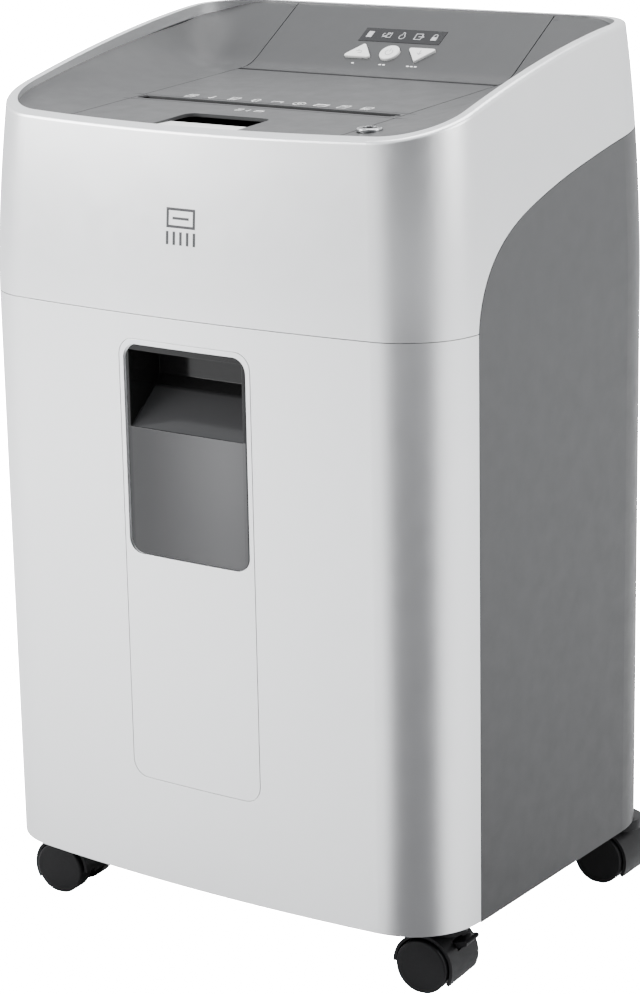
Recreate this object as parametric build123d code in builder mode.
from build123d import *
import math
import os

os.makedirs("parts", exist_ok=True)

# Auto-feed office paper shredder on four twin-wheel casters.  Millimetres, +Z up.  The origin is on
# the floor under the middle of the machine, the front faces -Y.

# ---- cabinet -------------------------------------------------------------------------------------
WIDTH = 400.0
DEPTH = 335.0
FRONT = -DEPTH / 2                   # foremost point of the bowed front
REAR = DEPTH / 2
BOW_RADIUS = 1540.0                  # the front bulges forward by 13 mm
FRONT_CORNER = 54.5
REAR_CORNER = 70.0
WALL = 3.0
GAP = 0.6                            # seam between two casing parts
LID_GAP = 0.9                        # seam along both sides of the lid
BODY_BOTTOM = 52.5
DRAWER_BOTTOM = 53.5
HEAD_SEAM = 474.0                    # underside of the head at the front
SIDE_SEAM = -103.5                   # Y of the seam between the drawer front and the side panels
REAR_SEAM_X = 125.0                  # half width of the rear panel
REAR_LINE = 588.0                    # underside of the head at the rear

# ---- head ----------------------------------------------------------------------------------------
HEAD_TOP = 658.0
SIDE_TAPER = 11.0                    # how far each face leans in by the top of the head
FRONT_TAPER = 15.5
REAR_TAPER = 22.0
TAPER_POWER = 1.6
REAR_POWER = 3.5                     # the rear stays upright for longer
RIM = 8.0                            # width of the pale rim around the top
RIM_FRONT_Z = 603.0
RIM_FLAT_Y = 127.5                   # the rim is level behind this Y
RIM_RISE_LENGTH = 282.0
RIM_POWER = 1.53
RIM_DEPTH = 9.0                      # height of the flange under the rim
RIM_ROUND = 3.0                      # rounding of its outer edge

# ---- top insert ----------------------------------------------------------------------------------
LID_HALF = 114.0
LID_Y0 = -152.0
LID_Z0 = 603.4                       # top of the lid at LID_Y0
LID_SLOPE = 0.0545
PANEL_Y1 = 138.5
PANEL_Z1 = 656.9
PANEL_SLOPE = 0.634
PANEL_BLEND = 1.8
SKIN = 3.0
LID_REAR = 61.0
LID_THICK = 2.5
KNUCKLE = 5.5                        # radius of the rounded rear edge of the lid

# ---- shredding unit ------------------------------------------------------------------------------
SLOT_Y = -64.5
SLOT_HALF = 112.5
SLOT_WIDTH = 9.0
CUTTER_Z = 516.0
CUTTER_PITCH = 38.0                  # distance between the two cutter shafts
DISC_RADIUS = 21.0
CORE_RADIUS = 15.5
DISC_COUNT = 28
DISC_STEP = 8.0
DISC_THICK = 3.5
CHEEK_X = 119.0                      # inner face of the side cheeks of the cutter block
CHEEK = 4.0
SHAFT_RADIUS = 8.0
RUNNING = 0.05                       # radial clearance of a shaft in its bearing
GEAR_MODULE = 2.0
GEAR_WIDTH = 9.0
DECK_Z = 475.0
DECK_THICK = 4.0
TRAY_FLOOR = 564.0

# ---- casters -------------------------------------------------------------------------------------
WHEEL_RADIUS = 20.0
FRONT_AXLE_Y = -106.5
REAR_AXLE_Y = 131.5
TRAIL = 8.0
TWIN_HALF = 23.5                     # half width over the two wheels of a caster
WEB_HALF = 8.5


def ease(z, power=TAPER_POWER):
    """Share of the full taper reached at height z."""
    return max(0.0, (z - HEAD_SEAM) / (HEAD_TOP - HEAD_SEAM)) ** power


def rim_z(y):
    """Height of the top rim: a curve that rises from the front and levels out."""
    reach = max(0.0, (RIM_FLAT_Y - y) / RIM_RISE_LENGTH)
    return RIM_FRONT_Z + (HEAD_TOP - RIM_FRONT_Z) * (1.0 - reach ** RIM_POWER)


def trough_z(y):
    """Height of the insert on the centre line: flat lid, concave blend, control panel slope."""
    flat = LID_Z0 + LID_SLOPE * (y - LID_Y0)
    slope = PANEL_Z1 + PANEL_SLOPE * (y - PANEL_Y1)
    return flat + PANEL_BLEND * math.log1p(math.exp((slope - flat) / PANEL_BLEND))


def outline(z, inset=0.0):
    """Plan outline of the casing at height z, moved inwards by inset."""
    share = ease(z)
    half = WIDTH / 2 - SIDE_TAPER * share - inset
    front = FRONT + FRONT_TAPER * share + inset
    lean = REAR_TAPER * ease(z, REAR_POWER)
    rear = REAR - lean - inset
    bow = BOW_RADIUS - inset
    with BuildSketch(Plane.XY.offset(z)) as plan:
        with Locations((0, (front + rear) / 2)):
            Rectangle(2 * half, rear - front)
        with Locations((0, front + bow)):
            Circle(bow, mode=Mode.INTERSECT)
        fillet(plan.vertices().sort_by(Axis.Y)[:2], FRONT_CORNER - inset)
        fillet(plan.vertices().sort_by(Axis.Y)[-2:], REAR_CORNER - lean - inset)
    return plan.sketch


def casing_block(inset, bottom=BODY_BOTTOM):
    """Solid of the whole casing: a straight cabinet below a head that leans in."""
    heights = [HEAD_SEAM + (HEAD_TOP + 4 - HEAD_SEAM) * step / 4 for step in range(5)]
    with BuildPart() as block:
        add(outline(HEAD_SEAM, inset))
        extrude(amount=-(HEAD_SEAM - bottom))
        for height in heights:
            add(outline(height, inset))
        loft()
    return block.part


def below_curve(curve, first, last, shift=0.0, steps=10):
    """Slab across the machine that fills everything under the curve z = curve(y)."""
    span = [first + (last - first) * step / steps for step in range(steps + 1)]
    with BuildPart() as slab:
        with BuildSketch(Plane.YZ.offset(-WIDTH)):
            with BuildLine():
                Spline([(y, curve(y) + shift) for y in span])
                Polyline((last, curve(last) + shift), (last, 0), (first, 0), (first, curve(first) + shift))
            make_face()
        extrude(amount=2 * WIDTH)
    return slab.part


def below_head_line(shift):
    """Slab under the curved seam between the side panels and the head."""
    with BuildPart() as slab:
        with BuildSketch(Plane.YZ.offset(-WIDTH)):
            with BuildLine():
                Spline(
                    (SIDE_SEAM - shift, HEAD_SEAM + shift),
                    (-98 - shift, 496 + shift),
                    (-87 - shift, 514 + shift),
                    (-68 - shift, 531 + shift),
                    (-48, 542 + shift),
                    (-22, 551.5 + shift),
                    (10, 560.7 + shift),
                    (48, 569.3 + shift),
                    (90, 577.5 + shift),
                    (135, 584 + shift),
                    (REAR + 10, REAR_LINE + shift),
                )
                Polyline(
                    (REAR + 10, REAR_LINE + shift),
                    (REAR + 10, 0),
                    (SIDE_SEAM - shift, 0),
                    (SIDE_SEAM - shift, HEAD_SEAM + shift),
                )
            make_face()
        extrude(amount=2 * WIDTH)
    return slab.part


def save(part, name):
    """Write one finished piece."""
    part.label = name
    export_step(part, "parts/" + name + ".step")


outer_casing = casing_block(0)
inner_casing = casing_block(WALL, BODY_BOTTOM - 1)
rim_casing = casing_block(RIM)
under_rim = below_curve(rim_z, FRONT - 5, REAR + 5)
under_flange = below_curve(rim_z, FRONT - 5, REAR + 5, -RIM_DEPTH)

# ==== head ========================================================================================

# The pale head shell: a rounded rim with a flange inside it, thin walls and a ledge under the lid.
LEDGE_Z = 600.2
LEDGE_REAR = -132.0

with BuildPart() as head_shell:
    add(outer_casing)
    with BuildSketch(Plane.XY.offset(HEAD_SEAM)):
        Rectangle(2 * WIDTH, 2 * WIDTH)
    extrude(amount=-HEAD_SEAM, mode=Mode.SUBTRACT)
    add(under_rim, mode=Mode.INTERSECT)
    top_edges = head_shell.faces().sort_by(Axis.Z)[-1].outer_wire().edges()
    fillet(top_edges, RIM_ROUND)
    add(inner_casing & under_flange, mode=Mode.SUBTRACT)
    add(rim_casing, mode=Mode.SUBTRACT)
    add(below_head_line(GAP / 2), mode=Mode.SUBTRACT)
    with BuildSketch(Plane.XY.offset(LEDGE_Z)):
        with Locations((0, (FRONT + 20 + LEDGE_REAR) / 2)):
            Rectangle(2 * LID_HALF - 20, LEDGE_REAR - FRONT - 20)
    extrude(amount=-2.5)
    with BuildSketch(Plane.XY.offset(LEDGE_Z)):
        with Locations((0, FRONT + 17)):
            Rectangle(2 * LID_HALF - 20, 8)
    extrude(amount=-2.5)
save(head_shell.part, "head_shell")

# The grey insert inside the rim: flat around the lid, swept up to the rim on both sides.
INSERT_FLAT = 121.0                  # half width of the flat part at the front
INSERT_EDGE = 192.0


def insert_section(y, drop):
    """Outline across the insert at depth y: flat in the middle, rising to the rim at the sides."""
    flat = INSERT_FLAT + 8 + 12 * math.tanh((y - 40) / 60)
    low = trough_z(y) - drop
    high = max(rim_z(y) - 0.8 - drop, low + 0.2)
    bend_x = flat + 0.6 * (INSERT_EDGE - flat)
    bend_z = low + 0.38 * (high - low)
    foot = HEAD_SEAM + 40
    with BuildSketch(Plane.XZ.offset(-y)) as section:
        with BuildLine():
            Line((-flat, low), (flat, low))
            Spline((flat, low), (bend_x, bend_z), (INSERT_EDGE, high), tangents=((1, 0), (1, 0.9)))
            Polyline((INSERT_EDGE, high), (INSERT_EDGE, foot), (-INSERT_EDGE, foot), (-INSERT_EDGE, high))
            Spline((-INSERT_EDGE, high), (-bend_x, bend_z), (-flat, low), tangents=((1, -0.9), (1, 0)))
        make_face()
    return section.sketch


def insert_block(drop):
    """Everything under the surface of the insert."""
    with BuildPart() as block:
        for y in (-178, -140, -100, -60, -20, 15, 40, 55, 67, 79, 91, 103, 115, 127, 139, 151):
            add(insert_section(y, drop))
        loft()
    return block.part


def seat(x_half, y0, y1, z0, z1):
    """Box between two depths and two heights, centred across the machine."""
    with BuildPart() as box:
        with BuildSketch(Plane.XY.offset(z0)):
            with Locations((0, (y0 + y1) / 2)):
                Rectangle(2 * x_half, y1 - y0)
        extrude(amount=z1 - z0)
    return box.part


insert_top = insert_block(0)
insert_skin = (insert_top - insert_block(SKIN)) & rim_casing

LOCK_X = 124.8
LOCK_Y = -118.5
LOCK_Z = 605.6
LOCK_RADIUS = 7.0
HINGE_Y = LID_REAR - KNUCKLE
HINGE_Z = trough_z(LID_REAR - KNUCKLE) - KNUCKLE
HINGE_PIN = 2.0
EAR = 4.0

with BuildPart() as top_bezel:
    add(insert_skin)
    add(seat(LID_HALF + LID_GAP, FRONT - 5, REAR + 5, 500, 700), mode=Mode.SUBTRACT)
    for side in (-1, 1):
        with BuildSketch(Plane.YZ.offset(side * (LID_HALF + LID_GAP + EAR / 2) - EAR / 2)):
            with Locations((HINGE_Y, HINGE_Z)):
                Circle(KNUCKLE - 0.4)
        extrude(amount=EAR)
    for y, low in ((LID_REAR + 6, 601), (136, 630)):
        add(seat(LID_HALF + 6, y - 2, y + 2, low, low + 6))
        with BuildSketch(Plane((0, y, low))):
            with Locations((-LID_HALF - 4, 0), (LID_HALF + 4, 0)):
                Rectangle(4, 4)
        extrude(amount=trough_z(y) - low - 1)
    with BuildSketch(Plane.XY.offset(LOCK_Z - 20)):
        with Locations((LOCK_X, LOCK_Y)):
            Circle(LOCK_RADIUS)
    extrude(amount=40, mode=Mode.SUBTRACT)
    with BuildSketch(Plane.YZ.offset(-WIDTH)):
        with Locations((HINGE_Y, HINGE_Z)):
            Circle(HINGE_PIN)
    extrude(amount=2 * WIDTH, mode=Mode.SUBTRACT)
save(top_bezel.part, "top_bezel")

# ==== control panel ===============================================================================

PANEL_FRONT = LID_REAR + GAP / 2
PANEL_NORMAL = (0, -math.sin(math.atan(PANEL_SLOPE)), math.cos(math.atan(PANEL_SLOPE)))
BUTTON_Y = 92.8                      # the three buttons sit low on the slope
BUTTON_FIT = 0.35
TRIANGLE = 13.0                      # half width of the triangular keys
TRIANGLE_LOW = 6.8
TRIANGLE_HIGH = 9.0
POWER_RADIUS = 8.0
BUTTON_X = 26.2
DISPLAY_Y = 110.4
DISPLAY_HALF = 36.0
DISPLAY_WIDTH = 15.5
BUTTON_PROUD = 1.8
BUTTON_TRAVEL = 1.2


def on_slope(y, height=0.0):
    """Plane that lies on the control panel at depth y, its Y axis pointing up the slope."""
    z = PANEL_Z1 + PANEL_SLOPE * (y - PANEL_Y1)
    origin = Vector(0, y, z) + Vector(*PANEL_NORMAL) * height
    return Plane(origin=origin, x_dir=(1, 0, 0), z_dir=PANEL_NORMAL)


def button_outline(kind, margin=0.0):
    """Rounded triangle for reverse and forward, disc for power."""
    with BuildSketch() as shape:
        if kind == "power":
            Circle(POWER_RADIUS + margin)
        else:
            sign = 1 if kind == "reverse" else -1
            with Locations((-sign * BUTTON_X, 0)):
                low, high = -TRIANGLE_LOW * sign, TRIANGLE_HIGH * sign
                Polygon((-TRIANGLE, low), (TRIANGLE, low), (0, high), align=None)
            fillet(shape.vertices(), 1.6)
            if margin:
                offset(amount=margin)
    return shape.sketch


panel_top = below_curve(trough_z, 40, REAR, 0, 24)
panel_skin = (panel_top - below_curve(trough_z, 40, REAR, -SKIN, 24)) & rim_casing & under_rim
panel_skin = panel_skin & seat(LID_HALF, PANEL_FRONT, REAR, 560, 700)
BUTTONS = ("reverse", "power", "forward")

with BuildPart() as control_panel:
    add(panel_skin)
    for kind in BUTTONS:
        with BuildSketch(on_slope(BUTTON_Y, -8)):
            add(button_outline(kind, BUTTON_FIT))
        extrude(amount=16, mode=Mode.SUBTRACT)
    with BuildSketch(on_slope(DISPLAY_Y, -0.6)):
        Rectangle(2 * DISPLAY_HALF, DISPLAY_WIDTH)
    extrude(amount=5, mode=Mode.SUBTRACT)
    with BuildSketch(on_slope(DISPLAY_Y, -8)):
        Rectangle(2 * DISPLAY_HALF - 4, DISPLAY_WIDTH - 4)
    extrude(amount=16, mode=Mode.SUBTRACT)
save(control_panel.part, "control_panel")

with BuildPart() as display_window:
    with BuildSketch(on_slope(DISPLAY_Y, -0.6)):
        Rectangle(2 * DISPLAY_HALF - 0.2, DISPLAY_WIDTH - 0.2)
    extrude(amount=0.9)
save(display_window.part, "display_window")

for kind in BUTTONS:
    with BuildPart() as button:
        with BuildSketch(on_slope(BUTTON_Y, -3.6)):
            add(button_outline(kind))
        extrude(amount=3.6 + BUTTON_PROUD)
        fillet(button.faces().sort_by(Axis.Z)[-1].edges(), 0.7)
        with BuildSketch(on_slope(BUTTON_Y, -5.0)):
            add(button_outline(kind, 1.2))
        extrude(amount=1.4)
    save(button.part, kind + "_button")

# Circuit board on four posts under the slope: a switch for each button, five lamps for the display.
BOARD_DROP = 11.0
with BuildPart() as control_board:
    with BuildSketch(on_slope(BUTTON_Y + 9, -BOARD_DROP)):
        Rectangle(96, 44)
    extrude(amount=1.6)
    with BuildSketch(on_slope(BUTTON_Y, -BOARD_DROP + 1.6)):
        with GridLocations(BUTTON_X, 1, 3, 1):
            Rectangle(6, 6)
    extrude(amount=2.6)
    with BuildSketch(on_slope(DISPLAY_Y, -BOARD_DROP + 1.6)):
        with GridLocations(14.5, 1, 5, 1):
            Rectangle(5, 4)
    extrude(amount=3.0)
    with BuildSketch(on_slope(BUTTON_Y + 9, -BOARD_DROP + 1.6)):
        with GridLocations(88, 36, 2, 2):
            Circle(2.4)
    extrude(amount=BOARD_DROP - 1.7 - SKIN * PANEL_NORMAL[2])
save(control_board.part, "control_board")

# ==== lid =========================================================================================

NOTCH_HALF = 36.0
NOTCH_REAR = -104.5
THROAT_BOTTOM = TRAY_FLOOR + 14
PLATE_Y = 39.0                       # pivot of the sprung pressure plate under the lid
PLATE_Z = 599.0
PLATE_EAR_X = 84.0


def under_lid(drop):
    """Slab under the top of the lid, which continues the flat of the trough."""
    return below_curve(lambda y: LID_Z0 + LID_SLOPE * (y - LID_Y0), FRONT, LID_REAR + 2, -drop, 4)


def racetrack(plane, half, width):
    """Slot with round ends across the machine."""
    with BuildSketch(plane) as slot:
        SlotOverall(2 * half, width)
    return slot.sketch


slot_z = trough_z(SLOT_Y)

with BuildPart() as lid:
    add(under_lid(0) - under_lid(LID_THICK))
    add(casing_block(RIM + GAP), mode=Mode.INTERSECT)
    add(seat(LID_HALF, FRONT, HINGE_Y, 580, 640), mode=Mode.INTERSECT)
    with BuildSketch(Plane.YZ.offset(-LID_HALF)):
        with Locations((HINGE_Y, HINGE_Z)):
            Circle(KNUCKLE)
    extrude(amount=2 * LID_HALF)
    add(racetrack(Plane((0, SLOT_Y, 585)), SLOT_HALF + 0.2, SLOT_WIDTH + 1.4))
    extrude(amount=40, mode=Mode.SUBTRACT)
    for side in (-1, 1):
        with BuildSketch(Plane.YZ.offset(side * PLATE_EAR_X - 2)):
            with Locations((PLATE_Y, PLATE_Z + 5)):
                Rectangle(9, 17)
        extrude(amount=4)
    with BuildSketch(Plane.YZ.offset(-PLATE_EAR_X - 3)):
        with Locations((PLATE_Y, PLATE_Z)):
            Circle(2.0 + RUNNING)
    extrude(amount=2 * PLATE_EAR_X + 6, mode=Mode.SUBTRACT)
    with BuildSketch(Plane.XY.offset(585)) as notch:
        with Locations((0, (FRONT + NOTCH_REAR) / 2)):
            Rectangle(2 * NOTCH_HALF, NOTCH_REAR - FRONT)
        fillet(notch.vertices().sort_by(Axis.Y)[-2:], 8)
    extrude(amount=40, mode=Mode.SUBTRACT)
    with BuildSketch(Plane.YZ.offset(-WIDTH)):
        with Locations((HINGE_Y, HINGE_Z)):
            Circle(HINGE_PIN + RUNNING)
    extrude(amount=2 * WIDTH, mode=Mode.SUBTRACT)
save(lid.part, "lid")

# Two pins carry the lid in the ears of the bezel.
with BuildPart() as lid_hinge_pins:
    for side in (-1, 1):
        with BuildSketch(Plane.YZ.offset(side * (LID_HALF + LID_GAP + EAR / 2) - 10)):
            with Locations((HINGE_Y, HINGE_Z)):
                Circle(HINGE_PIN)
        extrude(amount=20)
save(lid_hinge_pins.part, "lid_hinge_pins")

# Funnel of the manual feed slot: wide and round-ended at the top, a narrow gap below.
with BuildPart() as feed_throat:
    add(racetrack(Plane((0, SLOT_Y, THROAT_BOTTOM)), SLOT_HALF, SLOT_WIDTH + 1))
    extrude(amount=slot_z - THROAT_BOTTOM - 0.4)
    add(racetrack(Plane((0, SLOT_Y, THROAT_BOTTOM - 1)), SLOT_HALF - 4, 5))
    extrude(amount=60, mode=Mode.SUBTRACT)
    with BuildSketch(Plane.YZ.offset(-SLOT_HALF + 5)):
        with Locations((SLOT_Y, slot_z)):
            Polygon((-4.4, 0.5), (4.4, 0.5), (2.4, -7), (-2.4, -7), align=None)
    extrude(amount=2 * SLOT_HALF - 10, mode=Mode.SUBTRACT)
save(feed_throat.part, "feed_throat")

# Sprung plate that presses the paper stack onto the pick-up rollers, hanging from the lid.
PLATE_DROP = 14.0
plate_plane = Plane(
    origin=(0, PLATE_Y, PLATE_Z),
    x_dir=(1, 0, 0),
    z_dir=(0, -math.sin(math.radians(PLATE_DROP)), math.cos(math.radians(PLATE_DROP))),
)
with BuildPart() as pressure_plate:
    with BuildSketch(plate_plane.offset(-1.2)):
        with Locations((0, -44)):
            RectangleRounded(156, 84, 6)
    extrude(amount=2.4)
    for side in (-1, 1):
        with BuildSketch(Plane.YZ.offset(side * 79 - 2)):
            with Locations((PLATE_Y, PLATE_Z)):
                Circle(3.5)
                with Locations((-4, -1)):
                    Rectangle(9, 4, rotation=PLATE_DROP)
        extrude(amount=4)
        with BuildSketch(Plane.YZ.offset(side * 82 - 6)):
            with Locations((PLATE_Y, PLATE_Z)):
                Circle(2.0)
        extrude(amount=12)
save(pressure_plate.part, "pressure_plate")

# ==== lock ========================================================================================

with BuildPart() as lock_bezel:
    with BuildSketch(Plane((LOCK_X, LOCK_Y, LOCK_Z - 14))):
        Circle(LOCK_RADIUS)
    extrude(amount=14)
    with BuildSketch(Plane((LOCK_X, LOCK_Y, LOCK_Z))):
        Circle(LOCK_RADIUS + 1.9)
    extrude(amount=2.4)
    fillet(lock_bezel.edges().filter_by(GeomType.CIRCLE).sort_by(Axis.Z)[-1], 1.2)
    with BuildSketch(Plane((LOCK_X, LOCK_Y, LOCK_Z - 15))):
        Circle(5.0 + RUNNING)
    extrude(amount=30, mode=Mode.SUBTRACT)
save(lock_bezel.part, "lock_bezel")

with BuildPart() as lock_cylinder:
    with BuildSketch(Plane((LOCK_X, LOCK_Y, LOCK_Z - 18))):
        Circle(5.0)
    extrude(amount=19.2)
    with BuildSketch(Plane((LOCK_X, LOCK_Y, LOCK_Z - 6))):
        Rectangle(1.6, 6.4)
    extrude(amount=10, mode=Mode.SUBTRACT)
save(lock_cylinder.part, "lock_cylinder")

with BuildPart() as lock_cam:
    with BuildSketch(Plane((LOCK_X, LOCK_Y, LOCK_Z - 20))):
        SlotCenterToCenter(8, 7, rotation=90)
    extrude(amount=2)
save(lock_cam.part, "lock_cam")

# ==== paper tray under the lid ====================================================================

TRAY_HALF = 113.5
TRAY_FRONT = -142.0
TRAY_REAR = 132.0
TRAY_TOP = 597.0
TRAY_WALL = 2.4

with BuildPart() as paper_tray:
    add(seat(TRAY_HALF + TRAY_WALL, TRAY_FRONT - TRAY_WALL, TRAY_REAR + TRAY_WALL, TRAY_FLOOR, TRAY_TOP))
    with BuildSketch(Plane.XY.offset(TRAY_FLOOR + TRAY_WALL)):
        with Locations((0, (TRAY_FRONT + TRAY_REAR) / 2)):
            Rectangle(2 * TRAY_HALF, TRAY_REAR - TRAY_FRONT)
    extrude(amount=60, mode=Mode.SUBTRACT)
    with BuildSketch(Plane.XY.offset(TRAY_FLOOR - 1)):
        with Locations((0, SLOT_Y + 18)):
            Rectangle(2 * TRAY_HALF - 8, 52)
    extrude(amount=20, mode=Mode.SUBTRACT)
    add(seat(108, SLOT_Y - 9, SLOT_Y - 7, TRAY_FLOOR - 24, TRAY_FLOOR + 1))
    with BuildSketch(Plane.XY.offset(DECK_Z + DECK_THICK)):
        with GridLocations(220, 250, 2, 2):
            Rectangle(8, 10)
    extrude(amount=TRAY_FLOOR + 2 - DECK_Z - DECK_THICK)
save(paper_tray.part, "paper_tray")

# ==== machine deck, cheeks and cutters ============================================================

FRONT_SHAFT_Y = SLOT_Y - CUTTER_PITCH / 2
REAR_SHAFT_Y = SLOT_Y + CUTTER_PITCH / 2
PICKUP_Y = SLOT_Y + 24
PICKUP_Z = CUTTER_Z + math.sqrt(CUTTER_PITCH ** 2 - (PICKUP_Y - REAR_SHAFT_Y) ** 2)
PICKUP_SHAFT = 5.0
IDLER_TEETH = 24
SMALL_TEETH = 19
PINION_TEETH = 14
IDLER_ANGLE = math.radians(-12.0)
PINION_ANGLE = math.radians(15.0)
IDLER_REACH = GEAR_MODULE * IDLER_TEETH
PINION_REACH = GEAR_MODULE * (IDLER_TEETH + PINION_TEETH) / 2
IDLER_Y = REAR_SHAFT_Y + IDLER_REACH * math.cos(IDLER_ANGLE)
IDLER_Z = CUTTER_Z + IDLER_REACH * math.sin(IDLER_ANGLE)
MOTOR_Y = IDLER_Y + PINION_REACH * math.cos(PINION_ANGLE)
MOTOR_Z = IDLER_Z + PINION_REACH * math.sin(PINION_ANGLE)
MOTOR_SHAFT = 4.0
GEAR_X = CHEEK_X + CHEEK + 3

with BuildPart() as machine_deck:
    add(outline(HEAD_SEAM, WALL).moved(Location((0, 0, DECK_Z - HEAD_SEAM))))
    extrude(amount=DECK_THICK)
    with BuildSketch(Plane.XY.offset(DECK_Z - 1)):
        with Locations((0, SLOT_Y)):
            Rectangle(2 * CHEEK_X - 6, 84)
    extrude(amount=10, mode=Mode.SUBTRACT)
    add(inner_casing, mode=Mode.INTERSECT)
save(machine_deck.part, "machine_deck")

with BuildPart() as cutter_cheeks:
    with BuildSketch(Plane.YZ.offset(-CHEEK_X - CHEEK)):
        with Locations((SLOT_Y + 47, (DECK_Z + DECK_THICK + 561) / 2)):
            Rectangle(196, 561 - DECK_Z - DECK_THICK)
        with Locations((FRONT_SHAFT_Y, CUTTER_Z), (REAR_SHAFT_Y, CUTTER_Z)):
            Circle(14, mode=Mode.SUBTRACT)
        with Locations((PICKUP_Y, PICKUP_Z)):
            Circle(PICKUP_SHAFT + RUNNING, mode=Mode.SUBTRACT)
        with Locations((IDLER_Y, IDLER_Z)):
            Circle(PICKUP_SHAFT, mode=Mode.SUBTRACT)
        with Locations((MOTOR_Y, MOTOR_Z)):
            Circle(12, mode=Mode.SUBTRACT)
    extrude(amount=CHEEK)
    with BuildSketch(Plane.YZ.offset(CHEEK_X)):
        with Locations((SLOT_Y + 3, (DECK_Z + DECK_THICK + 561) / 2)):
            Rectangle(108, 561 - DECK_Z - DECK_THICK)
        with Locations((FRONT_SHAFT_Y, CUTTER_Z), (REAR_SHAFT_Y, CUTTER_Z)):
            Circle(14, mode=Mode.SUBTRACT)
        with Locations((PICKUP_Y, PICKUP_Z)):
            Circle(PICKUP_SHAFT + RUNNING, mode=Mode.SUBTRACT)
    extrude(amount=CHEEK)
save(cutter_cheeks.part, "cutter_cheeks")

with BuildPart() as tie_rods:
    with BuildSketch(Plane.YZ.offset(-CHEEK_X)):
        with Locations((SLOT_Y - 45, 488), (SLOT_Y - 45, 552), (SLOT_Y + 50, 488)):
            Circle(4)
    extrude(amount=2 * CHEEK_X)
save(tie_rods.part, "tie_rods")

with BuildPart() as cutter_bearings:
    for side in (-1, 1):
        with BuildSketch(Plane.YZ.offset(side * (CHEEK_X + CHEEK / 2) - CHEEK / 2)):
            with Locations((FRONT_SHAFT_Y, CUTTER_Z), (REAR_SHAFT_Y, CUTTER_Z)):
                Circle(14)
                Circle(SHAFT_RADIUS + RUNNING, mode=Mode.SUBTRACT)
        extrude(amount=CHEEK)
save(cutter_bearings.part, "cutter_bearings")


def cutter(y, shift):
    """Shaft with its row of cutting discs, each notched into teeth."""
    first = -(DISC_COUNT - 1) * DISC_STEP / 2 + shift
    with BuildPart() as roll:
        with BuildSketch(Plane((0, y, CUTTER_Z))):
            with Locations((0, SHAFT_RADIUS / 2)):
                Rectangle(2 * (GEAR_X + GEAR_WIDTH + 1), SHAFT_RADIUS)
            with Locations((0, CORE_RADIUS / 2)):
                Rectangle(2 * CHEEK_X - 1, CORE_RADIUS)
            for number in range(DISC_COUNT):
                with Locations((first + number * DISC_STEP, DISC_RADIUS / 2)):
                    Rectangle(DISC_THICK, DISC_RADIUS)
        revolve(axis=Axis((0, y, CUTTER_Z), (1, 0, 0)))
        with BuildSketch(Plane((-CHEEK_X + 0.5, y, CUTTER_Z), x_dir=(0, 1, 0), z_dir=(1, 0, 0))):
            with PolarLocations(DISC_RADIUS + 1, 6):
                Rectangle(9, 3)
        extrude(amount=2 * CHEEK_X - 1, mode=Mode.SUBTRACT)
    return roll.part


save(cutter(FRONT_SHAFT_Y, -DISC_STEP / 4), "cutter_front")
save(cutter(REAR_SHAFT_Y, DISC_STEP / 4), "cutter_rear")


def stripper(y, side, shift):
    """Comb whose fingers reach between the discs and clear the strips off the core."""
    first = -(DISC_COUNT - 1) * DISC_STEP / 2 + shift + DISC_STEP / 2
    finger = DISC_STEP - DISC_THICK - 0.8
    reach = DISC_RADIUS - CORE_RADIUS + 3
    with BuildPart() as comb:
        with BuildSketch(Plane((0, y + side * (DISC_RADIUS + 4), CUTTER_Z - 4))):
            Rectangle(2 * CHEEK_X, 6)
        extrude(amount=8)
        with BuildSketch(Plane((0, y + side * (CORE_RADIUS + 0.8 + reach / 2), CUTTER_Z - 3))):
            with Locations([(first + number * DISC_STEP, 0) for number in range(DISC_COUNT - 1)]):
                Rectangle(finger, reach)
        extrude(amount=6)
    return comb.part


with BuildPart() as stripper_combs:
    add(stripper(FRONT_SHAFT_Y, -1, -DISC_STEP / 4))
    add(stripper(REAR_SHAFT_Y, 1, DISC_STEP / 4))
save(stripper_combs.part, "stripper_combs")


def gear(y, z, x, teeth, bore, turn=0.0):
    """Spur gear across the machine, with tapered teeth; turn is in tooth pitches."""
    pitch_radius = GEAR_MODULE * teeth / 2
    root = pitch_radius - 1.2 * GEAR_MODULE
    tip = pitch_radius + 0.85 * GEAR_MODULE
    step = 360 / teeth
    with BuildPart() as wheel:
        with BuildSketch(Plane((x, y, z), x_dir=(0, 1, 0), z_dir=(1, 0, 0))):
            Circle(root)
            with PolarLocations(root - 1, teeth, start_angle=turn * step):
                Polygon((0, -1.9), (tip - root + 1, -0.75), (tip - root + 1, 0.75), (0, 1.9), align=None)
            Circle(bore, mode=Mode.SUBTRACT)
        extrude(amount=GEAR_WIDTH)
    return wheel.part


def mesh_turn(teeth, angle, other, other_turn):
    """Turn that puts a gap of this gear on a tooth of the gear it meets at the given angle."""
    phase = (math.degrees(angle) / (360 / other) - other_turn) % 1.0
    back = (math.degrees(angle) + 180) / (360 / teeth)
    return (back + phase + 0.5) % 1.0


front_turn = mesh_turn(SMALL_TEETH, math.pi, SMALL_TEETH, 0.0)
pickup_angle = math.atan2(PICKUP_Z - CUTTER_Z, PICKUP_Y - REAR_SHAFT_Y)
pickup_turn = mesh_turn(SMALL_TEETH, pickup_angle, SMALL_TEETH, 0.0)
idler_turn = mesh_turn(IDLER_TEETH, IDLER_ANGLE, IDLER_TEETH, 0.0)
pinion_turn = mesh_turn(PINION_TEETH, PINION_ANGLE, IDLER_TEETH, idler_turn)

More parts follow.
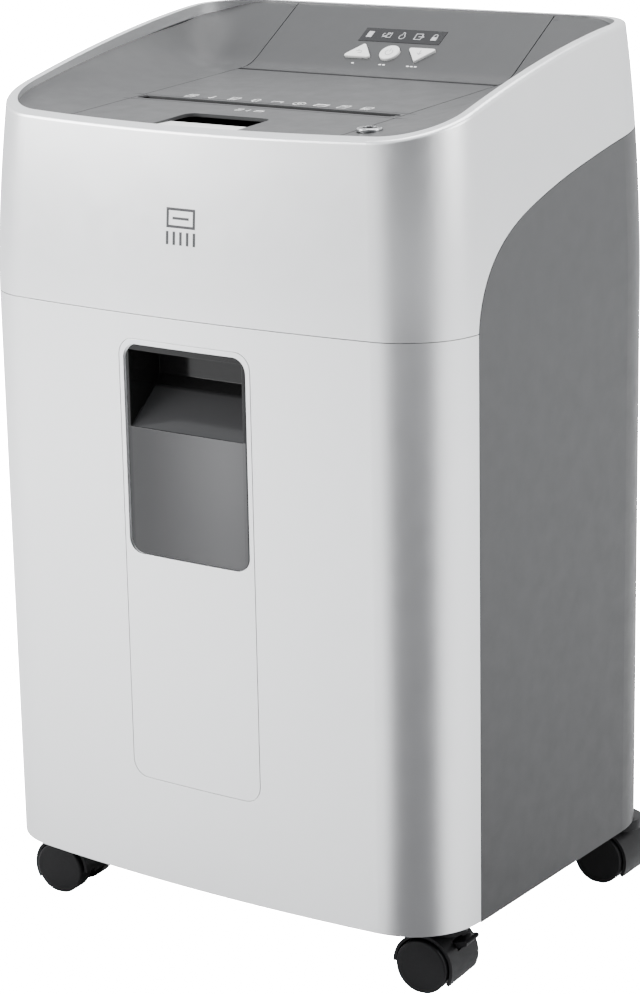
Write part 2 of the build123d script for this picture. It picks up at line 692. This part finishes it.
save(gear(FRONT_SHAFT_Y, CUTTER_Z, GEAR_X, SMALL_TEETH, SHAFT_RADIUS, front_turn), "gear_front")
save(gear(REAR_SHAFT_Y, CUTTER_Z, GEAR_X, SMALL_TEETH, SHAFT_RADIUS), "gear_rear")
LEFT_GEAR_X = -GEAR_X - GEAR_WIDTH
save(gear(REAR_SHAFT_Y, CUTTER_Z, LEFT_GEAR_X, IDLER_TEETH, SHAFT_RADIUS), "gear_drive")
save(gear(IDLER_Y, IDLER_Z, LEFT_GEAR_X, IDLER_TEETH, PICKUP_SHAFT + RUNNING, idler_turn), "gear_idler")

with BuildPart() as pickup_shaft:
    with BuildSketch(Plane.YZ.offset(-CHEEK_X - CHEEK - 2)):
        with Locations((PICKUP_Y, PICKUP_Z)):
            Circle(PICKUP_SHAFT)
    extrude(amount=2 * CHEEK_X + 2 * CHEEK + 6 + GEAR_WIDTH)
    add(gear(PICKUP_Y, PICKUP_Z, GEAR_X, SMALL_TEETH, PICKUP_SHAFT, pickup_turn))
save(pickup_shaft.part, "pickup_shaft")

with BuildPart() as pickup_rollers:
    for x in (-70, 0, 70):
        with BuildSketch(Plane.YZ.offset(x - 14)):
            with Locations((PICKUP_Y, PICKUP_Z)):
                Circle(16)
                Circle(PICKUP_SHAFT, mode=Mode.SUBTRACT)
        extrude(amount=28)
save(pickup_rollers.part, "pickup_rollers")

with BuildPart() as idler_pin:
    with BuildSketch(Plane.YZ.offset(LEFT_GEAR_X - 1)):
        with Locations((IDLER_Y, IDLER_Z)):
            Circle(PICKUP_SHAFT)
    extrude(amount=GEAR_WIDTH + 4 + CHEEK)
save(idler_pin.part, "idler_pin")

MOTOR_RADIUS = 31.0
with BuildPart() as motor:
    with BuildSketch(Plane((-CHEEK_X, MOTOR_Y, MOTOR_Z), x_dir=(0, 1, 0), z_dir=(1, 0, 0))):
        Circle(MOTOR_RADIUS)
        Circle(MOTOR_SHAFT + RUNNING, mode=Mode.SUBTRACT)
    extrude(amount=128)
    with BuildSketch(Plane((-40, MOTOR_Y, DECK_Z + DECK_THICK))):
        with GridLocations(80, 40, 2, 2):
            Rectangle(12, 8)
    extrude(amount=16)
save(motor.part, "motor")

with BuildPart() as motor_pinion:
    with BuildSketch(Plane.YZ.offset(LEFT_GEAR_X - 1)):
        with Locations((MOTOR_Y, MOTOR_Z)):
            Circle(MOTOR_SHAFT)
    extrude(amount=140)
    add(gear(MOTOR_Y, MOTOR_Z, LEFT_GEAR_X, PINION_TEETH, MOTOR_SHAFT, pinion_turn))
save(motor_pinion.part, "motor_pinion")

# ==== cabinet =====================================================================================

casing_skin = outer_casing - inner_casing
SIDE_FRONT = SIDE_SEAM + GAP / 2
BASE_Z = 54.0
BASE_THICK = 3.4
FRAME_X = 178.0
FRAME_THICK = 2.0
STEM_RADIUS = 4.0
SCREW_Z = 320.0
SCREW_RADIUS = 3.2
INLET_X = 62.0
INLET_Z = 112.0
SWITCH_X = 98.0


def box_at(x0, x1, y0, y1, z0, z1):
    """Box between six coordinates."""
    with BuildPart() as box:
        with BuildSketch(Plane(((x0 + x1) / 2, (y0 + y1) / 2, z0))):
            Rectangle(x1 - x0, y1 - y0)
        extrude(amount=z1 - z0)
    return box.part


def side_panel(side):
    """Grey panel that wraps from the drawer round the rear corner."""
    inner = REAR_SEAM_X + GAP / 2
    with BuildPart() as panel:
        add(casing_skin)
        add(below_head_line(-GAP / 2), mode=Mode.INTERSECT)
        low_x, high_x = sorted((side * 20, side * WIDTH))
        add(box_at(low_x, high_x, SIDE_FRONT, REAR + 5, 0, 700), mode=Mode.INTERSECT)
        add(box_at(-inner, inner, SIDE_FRONT - 5, REAR + 10, 0, 700), mode=Mode.SUBTRACT)
    return panel.part


save(side_panel(-1), "side_panel_left")
save(side_panel(1), "side_panel_right")

with BuildPart() as rear_panel:
    add(casing_skin)
    add(below_head_line(-GAP / 2), mode=Mode.INTERSECT)
    rear_half = REAR_SEAM_X - GAP / 2
    add(box_at(-rear_half, rear_half, 100, REAR + 5, 0, 700), mode=Mode.INTERSECT)
    with BuildSketch(Plane.XZ.offset(-REAR - 2)):
        with Locations((0, 512)):
            with GridLocations(92, 9, 2, 10):
                SlotOverall(78, 4)
    extrude(amount=10, mode=Mode.SUBTRACT)
    with BuildSketch(Plane.XZ.offset(-REAR - 2)):
        with Locations((INLET_X, INLET_Z)):
            Rectangle(28, 21)
        with Locations((SWITCH_X, INLET_Z)):
            Rectangle(20, 26)
        with GridLocations(2 * REAR_SEAM_X - 20, 480, 2, 2):
            with Locations((0, SCREW_Z)):
                Circle(SCREW_RADIUS)
        with Locations((-REAR_SEAM_X + 10, SCREW_Z), (REAR_SEAM_X - 10, SCREW_Z)):
            Circle(SCREW_RADIUS)
    extrude(amount=10, mode=Mode.SUBTRACT)
save(rear_panel.part, "rear_panel")

with BuildPart() as base_plate:
    add(outline(HEAD_SEAM, WALL + GAP).moved(Location((0, 0, BASE_Z - HEAD_SEAM))))
    extrude(amount=BASE_THICK)
save(base_plate.part, "base_plate")

# Two sheet uprights join the base to the machine deck and carry the drawer rails.
with BuildPart() as side_frames:
    with BuildSketch(Plane.YZ.offset(-FRAME_X - FRAME_THICK)):
        with Locations((8, (BASE_Z + BASE_THICK + DECK_Z) / 2)):
            Rectangle(208, DECK_Z - BASE_Z - BASE_THICK)
        with Locations((8, 200), (8, 350)):
            RectangleRounded(120, 110, 12, mode=Mode.SUBTRACT)
    extrude(amount=FRAME_THICK)
    mirror(about=Plane.YZ)
save(side_frames.part, "side_frames")

# ==== rear connections ============================================================================

with BuildPart() as power_inlet:
    add(box_at(INLET_X - 14, INLET_X + 14, REAR - 24, REAR - 0.4, INLET_Z - 10.5, INLET_Z + 10.5))
    with BuildSketch(Plane((INLET_X, REAR - 0.4, INLET_Z), x_dir=(1, 0, 0), z_dir=(0, 1, 0))) as recess:
        Rectangle(24.5, 17)
        chamfer(recess.vertices().sort_by(Axis.Z)[-2:], 4.5)
    extrude(amount=-16, mode=Mode.SUBTRACT)
    with BuildSketch(Plane((INLET_X, REAR - 17, INLET_Z), x_dir=(1, 0, 0), z_dir=(0, 1, 0))):
        with Locations((-7, -2), (0, 2), (7, -2)):
            Rectangle(2, 4)
    extrude(amount=12)
save(power_inlet.part, "power_inlet")

ROCKER_Y = REAR - 6.0
ROCKER_TILT = 7.0
with BuildPart() as switch_frame:
    add(box_at(SWITCH_X - 10, SWITCH_X + 10, REAR - 18, REAR - 0.4, INLET_Z - 13, INLET_Z + 13))
    add(box_at(SWITCH_X - 7.5, SWITCH_X + 7.5, REAR - 14, REAR, INLET_Z - 11, INLET_Z + 11), mode=Mode.SUBTRACT)
save(switch_frame.part, "switch_frame")

with BuildPart() as main_switch:
    with BuildSketch(Plane.YZ.offset(SWITCH_X - 7.1)):
        with Locations((ROCKER_Y, INLET_Z)):
            Polygon(
                (-4, -3), (-4, 3), (1, 10), (4.6, 9.4), (3.2, 0), (4.6, -9.4), (1, -10),
                rotation=-ROCKER_TILT, align=None,
            )
    extrude(amount=14.2)
save(main_switch.part, "main_switch")

with BuildPart() as rear_screws:
    with BuildSketch(Plane((0, REAR - 7, SCREW_Z), x_dir=(1, 0, 0), z_dir=(0, 1, 0))):
        with GridLocations(2 * REAR_SEAM_X - 20, 480, 2, 2):
            Circle(SCREW_RADIUS)
        with Locations((-REAR_SEAM_X + 10, 0), (REAR_SEAM_X - 10, 0)):
            Circle(SCREW_RADIUS)
    extrude(amount=6.6)
save(rear_screws.part, "rear_screws")

with BuildPart() as interlock_switch:
    add(box_at(150, 158, -120, -96, 455, DECK_Z))
    add(box_at(152, 156, -125, -119, 462, 464))
save(interlock_switch.part, "interlock_switch")

# ==== drawer ======================================================================================

DRAWER_TOP = HEAD_SEAM - GAP
WINDOW_HALF = 53.0
WINDOW_Z = (300.8, 452.5)
INLAY_HALF = 57.0
INLAY_Z = (131.5, 456.5)
INLAY_DEPTH = 2.0
POCKET_HALF = 49.0
POCKET_LIP = 392.8
POCKET_TOP = 448.0
POCKET_DEPTH = 36.0
PAN_HALF = 157.0
PAN_FRONT = -156.0
PAN_REAR = 124.0
PAN_Z = 62.0


def front_prism(half, z_range, radius, depth):
    """Rounded upright prism that goes back from the front face by depth."""
    low, high = z_range
    with BuildPart() as prism:
        with BuildSketch(Plane.XZ.offset(-FRONT + 5)):
            with Locations((0, (low + high) / 2)):
                RectangleRounded(2 * half, high - low, radius)
        extrude(amount=-depth - 5)
    return prism.part


mid_casing = casing_block(INLAY_DEPTH, BODY_BOTTOM - 1)

with BuildPart() as drawer_front:
    add(casing_skin)
    add(box_at(-WIDTH, WIDTH, FRONT - 5, SIDE_SEAM - GAP / 2, DRAWER_BOTTOM, DRAWER_TOP), mode=Mode.INTERSECT)
    add(front_prism(INLAY_HALF, INLAY_Z, 13, 20) - mid_casing, mode=Mode.SUBTRACT)
    add(front_prism(WINDOW_HALF - 1, WINDOW_Z, 11, 20), mode=Mode.SUBTRACT)
save(drawer_front.part, "drawer_front")

inlay_zone = front_prism(INLAY_HALF - 0.5, (INLAY_Z[0] + 0.5, INLAY_Z[1] - 0.5), 12.5, 20)
with BuildPart() as front_inlay:
    add((outer_casing - mid_casing) & inlay_zone)
    add(front_prism(WINDOW_HALF, WINDOW_Z, 11, 20), mode=Mode.SUBTRACT)
save(front_inlay.part, "front_inlay")

# Smoked window: a sheet just behind the surface, with a pocket at the top for the fingers.
with BuildPart() as window_insert:
    add((casing_block(1.2, BODY_BOTTOM - 1) - casing_block(4.4, BODY_BOTTOM - 2)) & front_prism(
        WINDOW_HALF - 1.3, (WINDOW_Z[0] + 0.3, WINDOW_Z[1] - 0.3), 10.7, 30))
    with BuildSketch(Plane.YZ.offset(-POCKET_HALF - 2)):
        with BuildLine():
            Polyline(
                (FRONT + 3, POCKET_LIP - 2.6),
                (FRONT + POCKET_DEPTH - 6, POCKET_LIP + 20),
                (FRONT + POCKET_DEPTH + 2, POCKET_LIP + 30),
                (FRONT + POCKET_DEPTH + 2, POCKET_TOP + 2),
                (FRONT + 3, POCKET_TOP + 2),
                close=True,
            )
        make_face()
    extrude(amount=2 * POCKET_HALF + 4)
    with BuildSketch(Plane.YZ.offset(-POCKET_HALF)):
        with BuildLine():
            Polyline(
                (FRONT - 5, POCKET_LIP),
                (FRONT + 3, POCKET_LIP),
                (FRONT + POCKET_DEPTH - 6, POCKET_LIP + 24),
                (FRONT + POCKET_DEPTH, POCKET_LIP + 32),
                (FRONT + POCKET_DEPTH, POCKET_TOP),
                (FRONT - 5, POCKET_TOP),
                close=True,
            )
        make_face()
    extrude(amount=2 * POCKET_HALF, mode=Mode.SUBTRACT)
    add(casing_block(1.2, BODY_BOTTOM - 1), mode=Mode.INTERSECT)
save(window_insert.part, "window_insert")

with BuildPart() as drawer_pan:
    add(box_at(-PAN_HALF, PAN_HALF, PAN_FRONT, PAN_REAR, PAN_Z, 104))
    add(box_at(-PAN_HALF + 2, PAN_HALF - 2, PAN_FRONT + 2, PAN_REAR - 2, PAN_Z + 2, 110), mode=Mode.SUBTRACT)
    add(box_at(-PAN_HALF, PAN_HALF, PAN_FRONT, PAN_FRONT + 2, PAN_Z, 230))
    for x in (-104, 104):
        add(box_at(x - 12, x + 12, FRONT + 3, PAN_FRONT, 80, 92))
        add(box_at(x - 12, x + 12, FRONT + 3, PAN_FRONT, 200, 212))
    add(inner_casing, mode=Mode.INTERSECT)
save(drawer_pan.part, "drawer_pan")

BIN_HALF = 150.0
BIN_FRONT = -124.0
BIN_REAR = 118.0
BIN_Z = PAN_Z + 2
BIN_TOP = 440.0
BIN_WALL = 2.2

with BuildPart() as waste_bin:
    with BuildSketch(Plane((0, (BIN_FRONT + BIN_REAR) / 2, BIN_Z))):
        RectangleRounded(2 * BIN_HALF - 12, BIN_REAR - BIN_FRONT - 10, 18)
    with BuildSketch(Plane((0, (BIN_FRONT + BIN_REAR) / 2, BIN_TOP))):
        RectangleRounded(2 * BIN_HALF, BIN_REAR - BIN_FRONT, 22)
    loft()
    with BuildSketch(Plane((0, (BIN_FRONT + BIN_REAR) / 2, BIN_Z + BIN_WALL))):
        RectangleRounded(2 * BIN_HALF - 12 - 2 * BIN_WALL, BIN_REAR - BIN_FRONT - 10 - 2 * BIN_WALL, 16)
    with BuildSketch(Plane((0, (BIN_FRONT + BIN_REAR) / 2, BIN_TOP + 0.5))):
        RectangleRounded(2 * BIN_HALF - 2 * BIN_WALL, BIN_REAR - BIN_FRONT - 2 * BIN_WALL, 20)
    loft(mode=Mode.SUBTRACT)
    with BuildSketch(Plane((0, (BIN_FRONT + BIN_REAR) / 2, BIN_TOP - 3))):
        RectangleRounded(2 * BIN_HALF + 6, BIN_REAR - BIN_FRONT + 6, 25)
        RectangleRounded(2 * BIN_HALF - 2 * BIN_WALL, BIN_REAR - BIN_FRONT - 2 * BIN_WALL, 20, mode=Mode.SUBTRACT)
    extrude(amount=3)
save(waste_bin.part, "waste_bin")

RAIL_Z = 84.0
RAIL_FRONT = -94.0
RAIL_REAR = 108.0

with BuildPart() as drawer_rails:
    add(box_at(FRAME_X - 14, FRAME_X, RAIL_FRONT, RAIL_REAR, RAIL_Z, RAIL_Z + 18))
    add(
        box_at(FRAME_X - 16, FRAME_X - 2, RAIL_FRONT - 1, RAIL_REAR + 1, RAIL_Z + 2, RAIL_Z + 16),
        mode=Mode.SUBTRACT,
    )
    mirror(about=Plane.YZ)
save(drawer_rails.part, "drawer_rails")

with BuildPart() as drawer_runners:
    add(box_at(PAN_HALF, FRAME_X - 4, RAIL_FRONT, RAIL_REAR, RAIL_Z + 7, RAIL_Z + 11))
    add(box_at(FRAME_X - 6, FRAME_X - 2.4, RAIL_FRONT, RAIL_REAR, RAIL_Z + 2.4, RAIL_Z + 15.6))
    mirror(about=Plane.YZ)
save(drawer_runners.part, "drawer_runners")

# ==== casters =====================================================================================

STEM_Z0 = 36.0
HOOD_RADIUS = 23.6
HOOD_INNER = 21.2
HOOD_HALF = 20.5
NECK_RADIUS = 15.5
NECK_TOP = 50.4
AXLE_RADIUS = 3.0
LEVER_X = 7.8                        # pivot of the brake lever, ahead of the stem
LEVER_Z = 32.3
LEVER_TILT = 26.0
LEVER_HALF = 6.5
PADDLE_HALF = 9.5
LEVER_PIN = 1.4
BRAKED = ("front_right", "rear_left")
CASTERS = {                          # wheel axle X and Y, and how far the caster has swivelled
    "front_right": (164.0, FRONT_AXLE_Y, 5.0),
    "front_left": (-168.0, FRONT_AXLE_Y, 6.0),
    "rear_right": (172.0, REAR_AXLE_Y, 1.0),
    "rear_left": (-168.0, REAR_AXLE_Y, 6.0),
}


def caster_plane(axle_x, axle_y, swing):
    """Plane on the floor under the swivel stem; its X axis points away from the wheel axle."""
    angle = math.radians(swing if axle_x > 0 else 180 + swing)
    forward = (math.cos(angle), math.sin(angle), 0)
    stem = (axle_x + TRAIL * forward[0], axle_y + TRAIL * forward[1], 0)
    return Plane(origin=stem, x_dir=forward, z_dir=(0, 0, 1))


def across(base, x, z, y=0.0):
    """Plane of the caster's side view, with its origin x ahead of the stem and z above the floor."""
    origin = base.from_local_coords(Vector(x, y, z))
    return Plane(origin=origin, x_dir=base.x_dir, z_dir=-base.y_dir)


def lever_plane(base):
    """Plane of the caster's side view at the lever's pivot, tilted along the lever."""
    flat = across(base, LEVER_X, LEVER_Z)
    tilt = math.radians(LEVER_TILT)
    along = flat.x_dir * math.cos(tilt) + flat.y_dir * math.sin(tilt)
    return Plane(origin=flat.origin, x_dir=along, z_dir=flat.z_dir)


for name, place in CASTERS.items():
    base = caster_plane(*place)
    view = across(base, -TRAIL, WHEEL_RADIUS)

    with BuildPart() as hood:
        with BuildSketch(view):
            Circle(HOOD_RADIUS)
            Circle(HOOD_INNER, mode=Mode.SUBTRACT)
            Polygon((0, 0), (-60, -1), (-60, -60), (60, -60), (52, -30), align=None, mode=Mode.SUBTRACT)
        extrude(amount=HOOD_HALF, both=True)
        with BuildSketch(view):
            Circle(HOOD_RADIUS - 1)
            Polygon((-2, -4), (-60, -4), (-60, -60), (60, -60), (52, -30), align=None, mode=Mode.SUBTRACT)
        extrude(amount=WEB_HALF - 0.4, both=True)
        with BuildSketch(base.offset(WHEEL_RADIUS + 22.2)):
            Circle(NECK_RADIUS)
        extrude(amount=NECK_TOP - WHEEL_RADIUS - 22.2, taper=-6)
        with BuildSketch(base.offset(STEM_Z0 - 0.3)):
            Circle(STEM_RADIUS + RUNNING)
        extrude(amount=20, mode=Mode.SUBTRACT)
        with BuildSketch(view):
            Circle(AXLE_RADIUS + RUNNING)
        extrude(amount=WEB_HALF + 4, both=True, mode=Mode.SUBTRACT)
        if name in BRAKED:
            with BuildSketch(lever_plane(base)):
                with Locations((7.5, 0)):
                    Rectangle(22, 8)
            extrude(amount=LEVER_HALF + 0.4, both=True, mode=Mode.SUBTRACT)
            with BuildSketch(lever_plane(base)):
                Circle(LEVER_PIN + RUNNING)
            extrude(amount=LEVER_HALF + 2, both=True, mode=Mode.SUBTRACT)
    save(hood.part, "caster_hood_" + name)

    with BuildPart() as wheels:
        for end in (-1, 1):
            with BuildSketch(across(base, -TRAIL, WHEEL_RADIUS, end * (TWIN_HALF + WEB_HALF) / 2)):
                Circle(WHEEL_RADIUS)
            extrude(amount=(TWIN_HALF - WEB_HALF) / 2, both=True)
        fillet(wheels.edges().filter_by(GeomType.CIRCLE), 1.6)
        with BuildSketch(view):
            Circle(AXLE_RADIUS)
        extrude(amount=WEB_HALF + 1, both=True)
    save(wheels.part, "caster_wheels_" + name)

with BuildPart() as caster_stems:
    for place in CASTERS.values():
        base = caster_plane(*place)
        with BuildSketch(base.offset(STEM_Z0)):
            Circle(STEM_RADIUS)
        extrude(amount=BASE_Z - STEM_Z0)
save(caster_stems.part, "caster_stems")

for name in BRAKED:
    base = caster_plane(*CASTERS[name])
    pivot = lever_plane(base)
    with BuildPart() as lever:
        with BuildSketch(pivot):
            Circle(2.6)
            Polygon((0, 2.6), (6, 2.6), (14, 1.2), (15.5, -0.6), (14, -1.8), (4, -1.6), (0, -2.6), align=None)
        extrude(amount=LEVER_HALF, both=True)
        with BuildSketch(pivot):
            Polygon((5.5, 2.6), (7, 2.9), (14, 1.8), (15.5, 0), (14, -1.8), (5.5, -1.7), align=None)
        extrude(amount=PADDLE_HALF, both=True)
        with BuildSketch(pivot):
            Circle(LEVER_PIN)
        extrude(amount=LEVER_HALF + 1.8, both=True)
    save(lever.part, "brake_lever_" + name)
